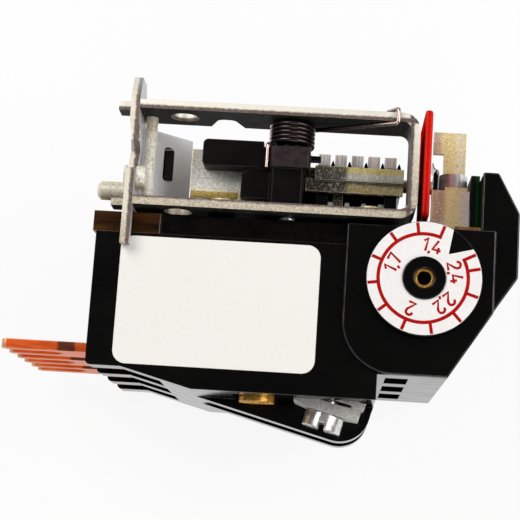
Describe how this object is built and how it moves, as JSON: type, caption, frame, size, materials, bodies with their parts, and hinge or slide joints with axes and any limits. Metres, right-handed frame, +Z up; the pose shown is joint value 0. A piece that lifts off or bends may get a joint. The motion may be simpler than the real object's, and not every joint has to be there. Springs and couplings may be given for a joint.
{
  "type": "motor_protection_relay",
  "caption": "Three-pole plug-on thermal motor protection relay with forked copper prongs, setting dial, sloped screw terminals, steel bracket with sprung lever and red paddle",
  "frame": {"origin": "middle of the bounding box on the rest plane, under the far side wall", "axes": "+X from the forked prongs to the contact block, +Y from the terminals to the bracket, +Z up, from the rest wall to the label"},
  "size_m": [0.09, 0.0614, 0.0499],
  "materials": {
    "black_gloss": "glossy moulded black",
    "black_matte": "satin moulded black",
    "brown_band": "glossy dark brown",
    "green_board": "matte dark green",
    "zinc_steel": "zinc plate with yellowish passivation",
    "bright_steel": "bright nickel plate",
    "grey_steel": "dull zinc plate",
    "spring_steel": "dark drawn wire",
    "brass_screw": "satin brass",
    "copper": "satin copper alloy",
    "bimetal": "rolled strip",
    "heater": "dull resistance strip",
    "inner_plastic": "natural moulded plastic",
    "white_print": "white with dark red print",
    "label_white": "satin warm white foil",
    "red_plastic": "bright red moulded"
  },
  "bodies": {
    "base": {"housing": "black_gloss", "bar_carrier": "black_matte", "bimetal_screws": "brass_screw", "bimetal_strip_1": "bimetal", "bimetal_strip_2": "bimetal", "bimetal_strip_3": "bimetal", "bracket": "zinc_steel", "bracket_screws": "zinc_steel", "compensating_strip": "bimetal", "contact_block": "black_gloss", "contact_prong_1": "copper", "contact_prong_2": "copper", "contact_prong_3": "copper", "contact_screw": "brass_screw", "contact_strip": "brass_screw", "heater_winding_1": "heater", "heater_winding_2": "heater", "heater_winding_3": "heater", "hook_plate": "zinc_steel", "hook_rivet": "bright_steel", "housing_cover": "brown_band", "insulator_strip": "green_board", "lever_pin": "bright_steel", "load_terminal_1": "grey_steel", "load_terminal_2": "grey_steel", "load_terminal_3": "grey_steel", "locating_pin": "bright_steel", "lower_contact_terminal": "zinc_steel", "mechanism_cover": "black_gloss", "mechanism_housing": "black_gloss", "rating_label": "label_white", "spacer_post": "zinc_steel", "stop_plate": "zinc_steel", "terminal_screws": "bright_steel", "torsion_spring": "spring_steel", "upper_contact_terminal": "zinc_steel", "wire_clamps": "grey_steel"},
    "dial": {"dial_knob": "black_gloss", "dial_scale": "white_print", "dial_spindle": "brass_screw", "setting_cam": "inner_plastic"},
    "lever": {"reset_lever": "black_matte"},
    "trip": {"trip_bar": "zinc_steel", "reset_paddle": "red_plastic"},
    "slide": {"trip_slide": "inner_plastic"}
  },
  "joints": [
    {"name": "dial_turn", "type": "hinge", "parent": "base", "child": "dial", "pos_m": [0.0284, -0.0032, 0.0485], "axis": [0, 0, 1], "range_deg": [-297, 20]},
    {"name": "lever_swing", "type": "hinge", "parent": "base", "child": "lever", "pos_m": [0.0041, 0.017, 0.0437], "axis": [0, 1, 0], "range_deg": [0, 18], "stiffness_Nm_per_rad": 0.001, "springref_deg": -20.05, "deforming": ["torsion_spring"]},
    {"name": "bar_turn", "type": "hinge", "parent": "base", "child": "trip", "pos_m": [0.016, 0.016, 0.0357], "axis": [1, 0, 0], "range_deg": [-10, 0]},
    {"name": "slide_travel", "type": "slide", "parent": "base", "child": "slide", "axis": [0, 0, 1], "range_m": [0, 0.0023], "stiffness_N_per_m": 5, "springref_m": -0.002}
  ],
  "couplings": [
    {"joint": "bar_turn", "follows": "slide_travel", "rad_per_m": -75.76}
  ]
}
